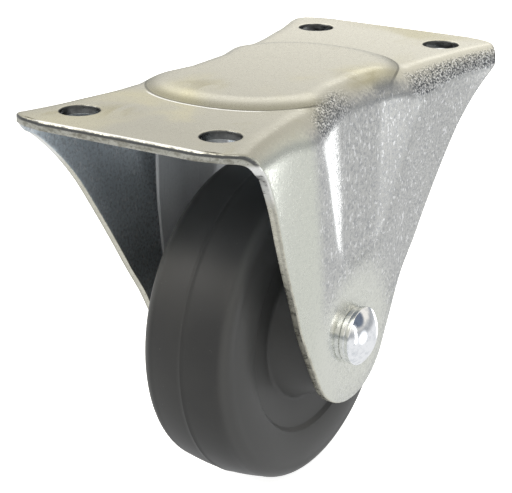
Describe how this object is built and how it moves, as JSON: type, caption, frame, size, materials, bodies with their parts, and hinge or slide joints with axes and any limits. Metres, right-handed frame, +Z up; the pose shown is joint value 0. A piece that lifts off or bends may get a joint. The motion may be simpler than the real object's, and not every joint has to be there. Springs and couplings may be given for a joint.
{
  "type": "fixed castor",
  "caption": "Fixed castor: a pressed steel plate that bends down into the legs and carries a solid dark wheel on a riveted axle.",
  "frame": {"origin": "middle of the plate's bolt pattern, level with the top of the plate's flat ends", "axes": "+X along the rolling direction and the plate's length, +Y along the axle towards the rivet's set end, +Z up out of the plate"},
  "size_m": [0.118, 0.0606, 0.0974],
  "materials": {
    "plated_sheet": "zinc plated, satin, with pale yellow stains",
    "plated_rivet": "bright zinc plated",
    "bare_steel": "drawn steel tube, lightly greased",
    "wheel_rubber": "moulded hard rubber, satin"
  },
  "bodies": {
    "fork": {"horn": "plated_sheet", "axle_rivet": "plated_rivet", "head_washer": "plated_rivet", "end_washer": "plated_rivet", "axle_sleeve": "bare_steel"},
    "rolling_wheel": {"wheel": "wheel_rubber", "hub_bush": "bare_steel"}
  },
  "joints": [
    {"name": "wheel_spin", "type": "hinge", "parent": "fork", "child": "rolling_wheel", "pos_m": [0, 0, -0.05785], "axis": [0, 1, 0], "continuous": true}
  ]
}
